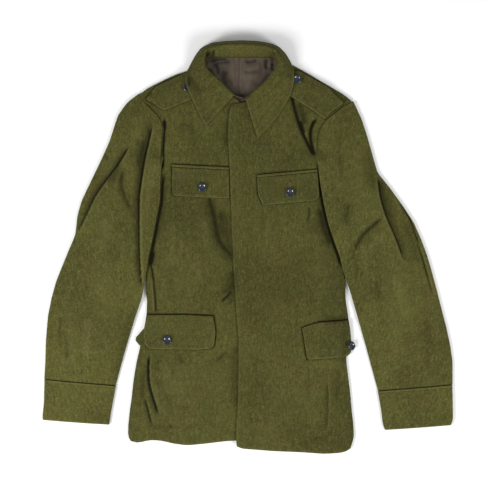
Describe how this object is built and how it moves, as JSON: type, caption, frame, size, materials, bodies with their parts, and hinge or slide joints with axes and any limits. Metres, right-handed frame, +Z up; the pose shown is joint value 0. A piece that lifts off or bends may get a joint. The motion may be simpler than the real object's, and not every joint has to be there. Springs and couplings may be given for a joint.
{
  "type": "military jacket",
  "caption": "Heavy wool field jacket laid flat, with a pointed collar, shoulder straps, buttoned breast and hip flaps and deep cuffs.",
  "frame": {"origin": "middle of the garment's box in plan, on the surface it lies on", "axes": "+Z up off the surface, the shortest way through the garment; +Y from the hem to the collar; +X to the wearer's left"},
  "size_m": [0.78, 0.7847, 0.0304],
  "materials": {
    "wool": "felted wool twill with a short nap",
    "lining": "plain cotton weave",
    "button": "dark dished plastic, glossy"
  },
  "bodies": {
    "root": {"back": "wool", "front_right": "wool", "front_left": "wool", "sleeve_right": "wool", "sleeve_left": "wool", "cuff_right": "wool", "cuff_left": "wool", "collar_leaf": "wool", "collar_stand": "wool", "strap_right": "wool", "strap_left": "wool", "flap_breast_right": "wool", "flap_breast_left": "wool", "flap_hip_right": "wool", "flap_hip_left": "wool", "welt_breast_right": "wool", "welt_breast_left": "wool", "lining_back": "lining", "button_strap_right": "button", "button_strap_left": "button", "button_breast_right": "button", "button_breast_left": "button", "button_hip_right": "button", "button_hip_left": "button"}
  },
  "joints": []
}
